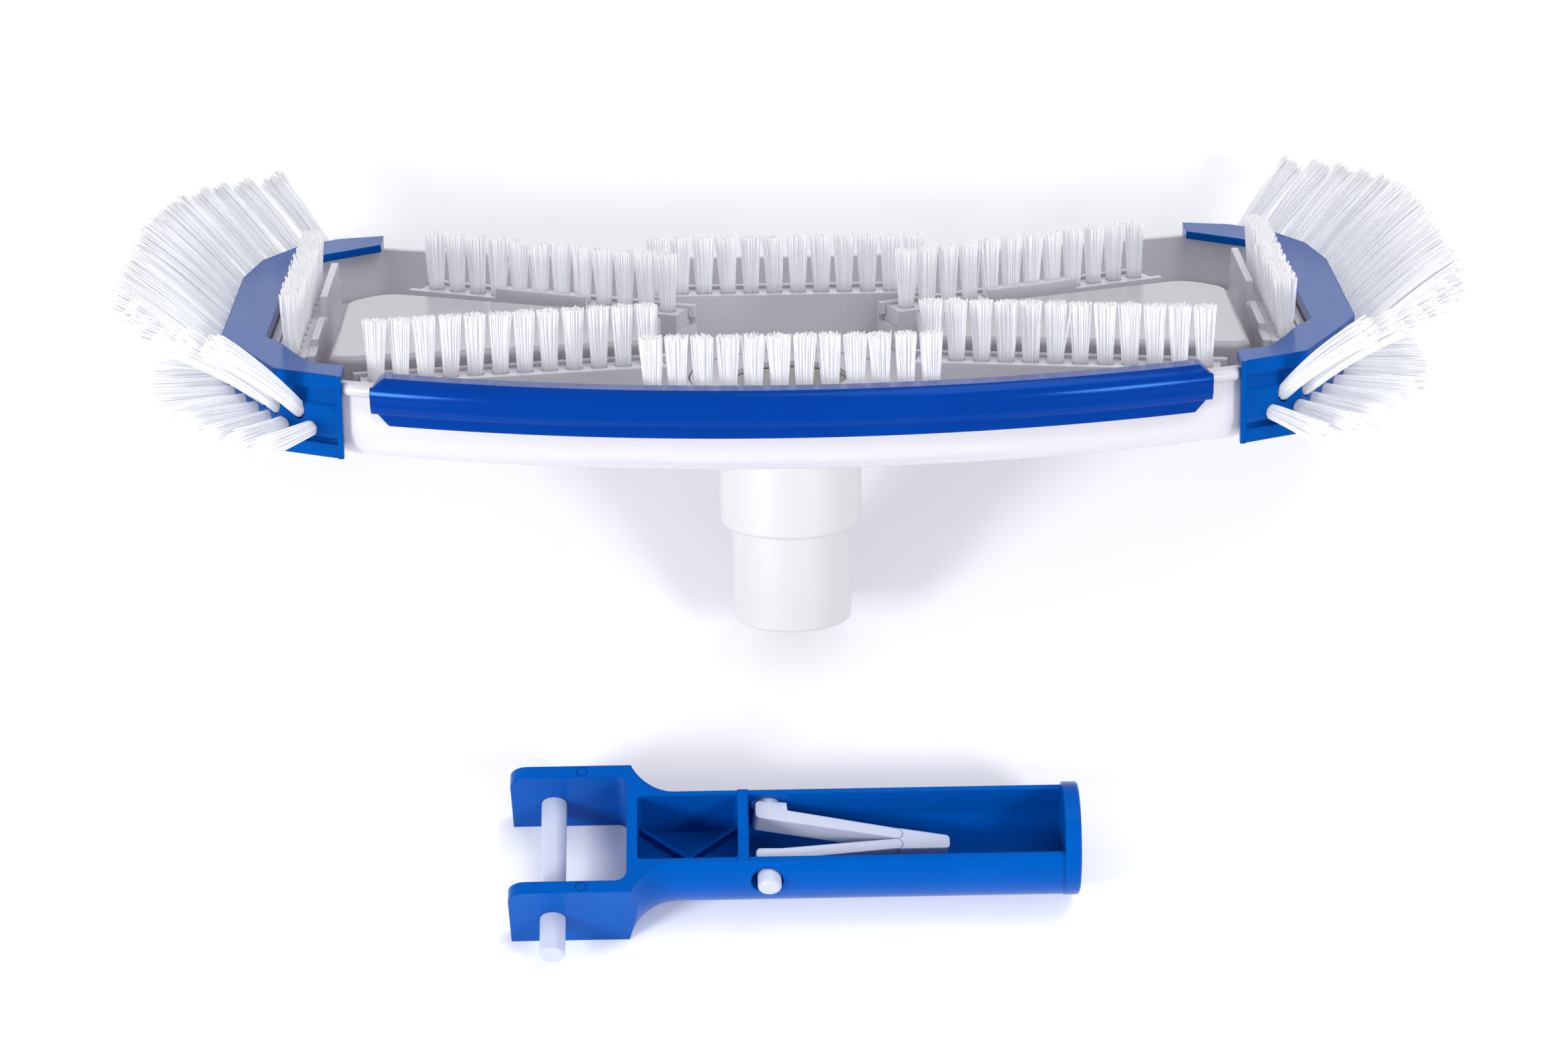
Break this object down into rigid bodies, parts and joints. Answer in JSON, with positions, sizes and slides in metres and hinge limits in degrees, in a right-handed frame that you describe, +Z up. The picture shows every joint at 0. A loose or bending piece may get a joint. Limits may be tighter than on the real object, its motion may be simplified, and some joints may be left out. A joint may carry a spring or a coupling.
{
  "type": "manual pool vacuum head",
  "caption": "Crescent pool vacuum head with brush strips, side brush fans, weight pods and a swivel hose cuff, lying upside down beside its detached clip-in pole handle.",
  "frame": {"origin": "floor point under the middle of the whole set, head and handle together", "axes": "+X to the right along the head's width, +Y to the rear, away from the handle, +Z up from the floor"},
  "size_m": [0.361, 0.2602, 0.1253],
  "materials": {
    "white_plastic": "moulded satin white with a cool cast",
    "pod_plastic": "glossy light grey",
    "blue_plastic": "glossy deep blue",
    "handle_blue": "glossy deep blue",
    "filament": "white nylon filament",
    "clip_plastic": "white spring plastic",
    "seal_rubber": "matte black",
    "weight_iron": "raw cast",
    "screw_steel": "stainless"
  },
  "bodies": {
    "head": {"body_shell": "white_plastic", "suction_plate": "white_plastic", "handle_bracket": "white_plastic", "swivel_ring": "white_plastic", "bumper_strip": "blue_plastic", "pod_screws": "screw_steel", "bracket_screws": "screw_steel", "brush_bar_centre_front": "white_plastic", "brush_tufts_centre_front": "filament", "brush_bar_centre_rear": "white_plastic", "brush_tufts_centre_rear": "filament", "brush_bar_front_left": "white_plastic", "brush_tufts_front_left": "filament", "brush_bar_front_right": "white_plastic", "brush_tufts_front_right": "filament", "brush_bar_rear_left": "white_plastic", "brush_tufts_rear_left": "filament", "brush_bar_rear_right": "white_plastic", "brush_tufts_rear_right": "filament", "brush_bar_side_left": "white_plastic", "brush_tufts_side_left": "filament", "brush_bar_side_right": "white_plastic", "brush_tufts_side_right": "filament", "weight_pod_left": "pod_plastic", "weight_left": "weight_iron", "side_brush_holder_left": "blue_plastic", "side_tufts_upper_left": "filament", "side_tufts_lower_left": "filament", "weight_pod_right": "pod_plastic", "weight_right": "weight_iron", "side_brush_holder_right": "blue_plastic", "side_tufts_upper_right": "filament", "side_tufts_lower_right": "filament"},
    "cuff": {"hose_cuff": "white_plastic", "swivel_seal": "seal_rubber"},
    "handle": {"handle_body": "handle_blue", "clip_bend": "clip_plastic"},
    "pin": {"pivot_pin": "white_plastic"},
    "clip_front": {"clip_arm_front": "clip_plastic"},
    "clip_rear": {"clip_arm_rear": "clip_plastic"}
  },
  "joints": [
    {"name": "cuff_swivel", "type": "hinge", "parent": "head", "child": "cuff", "pos_m": [0, 0.01117, 0.05578], "axis": [0, -0.5872, -0.8094], "continuous": true},
    {"name": "handle_lift", "type": "slide", "parent": "head", "child": "handle", "axis": [0, 0, 1], "range_m": [0, 0.1]},
    {"name": "pin_slide", "type": "slide", "parent": "handle", "child": "pin", "axis": [0, -1, 0], "range_m": [-0.0056, 0.045]},
    {"name": "front_button", "type": "hinge", "parent": "handle", "child": "clip_front", "pos_m": [0.02512, -0.1012, 0.01311], "axis": [-0.1468, 0, -0.9892], "range_deg": [0, 5], "stiffness_Nm_per_rad": 4, "springref_deg": -1.15},
    {"name": "rear_button", "type": "hinge", "parent": "handle", "child": "clip_rear", "pos_m": [0.02512, -0.098, 0.01311], "axis": [0.1468, 0, 0.9892], "range_deg": [0, 5], "stiffness_Nm_per_rad": 4, "springref_deg": -1.15}
  ]
}
